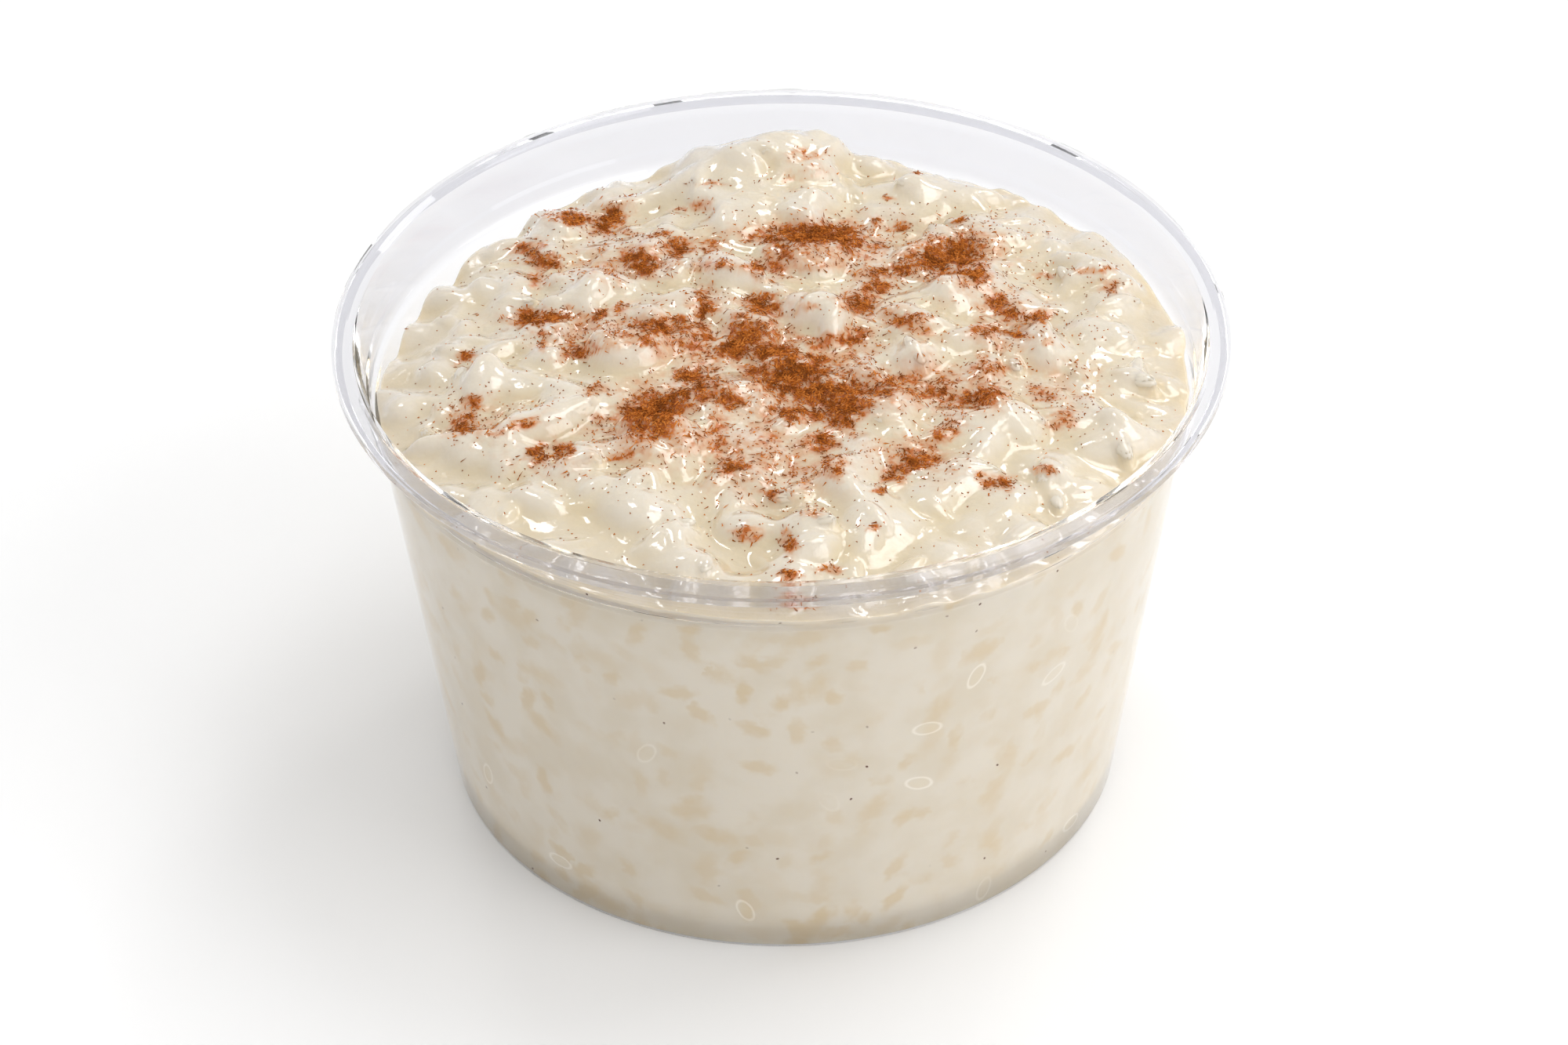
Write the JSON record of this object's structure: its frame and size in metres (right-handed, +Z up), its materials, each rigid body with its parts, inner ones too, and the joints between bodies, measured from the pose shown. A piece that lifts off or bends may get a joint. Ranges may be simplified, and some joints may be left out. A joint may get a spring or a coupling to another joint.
{
  "type": "rice pudding in a clear tub",
  "caption": "Round clear plastic tub with a rolled lip, filled with rice pudding that rises to a low lumpy mound with cooked grains showing and cinnamon dusted on top.",
  "frame": {"origin": "middle of the tub's flat underside, on the surface it stands on", "axes": "+Z up along the tub's turned axis; -Y towards the front, +X to the right as seen from the front"},
  "size_m": [0.117, 0.117, 0.0683],
  "materials": {
    "clear_plastic": "clear glossy moulded plastic, thin walled",
    "creamy_rice": "wet cream with soft translucent rice grains"
  },
  "bodies": {
    "root": {"tub": "clear_plastic", "pudding": "creamy_rice"}
  },
  "joints": []
}
